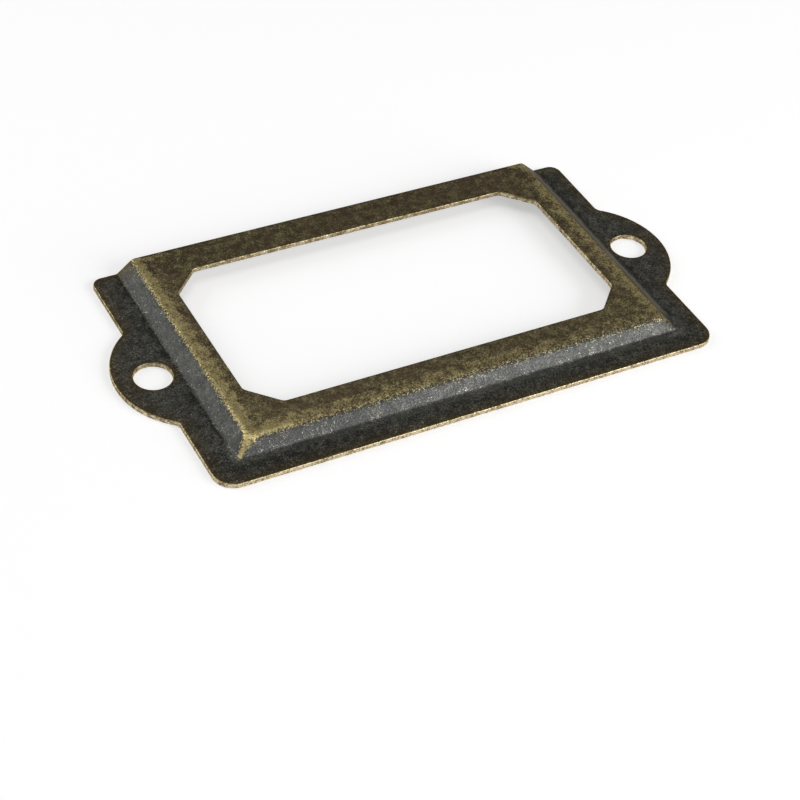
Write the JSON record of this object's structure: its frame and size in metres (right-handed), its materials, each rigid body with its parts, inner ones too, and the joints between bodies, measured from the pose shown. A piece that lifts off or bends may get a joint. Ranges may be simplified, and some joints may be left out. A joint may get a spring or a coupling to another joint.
{
  "type": "label frame",
  "caption": "Stamped sheet-metal label frame with a raised, windowed tray that is open along one long edge for a card, and a rounded screw ear at each end.",
  "frame": {"origin": "middle of the outline, on the plane of the rim's underside, which lies on the drawer", "axes": "+X along the frame from ear to ear, +Y towards the open edge where the card goes in, +Z away from the drawer"},
  "size_m": [0.07, 0.036, 0.0022],
  "materials": {
    "bronzed_sheet": "dark antique bronze, satin, worn bright along the bends and cut edges"
  },
  "bodies": {
    "root": {"label_frame": "bronzed_sheet"}
  },
  "joints": []
}
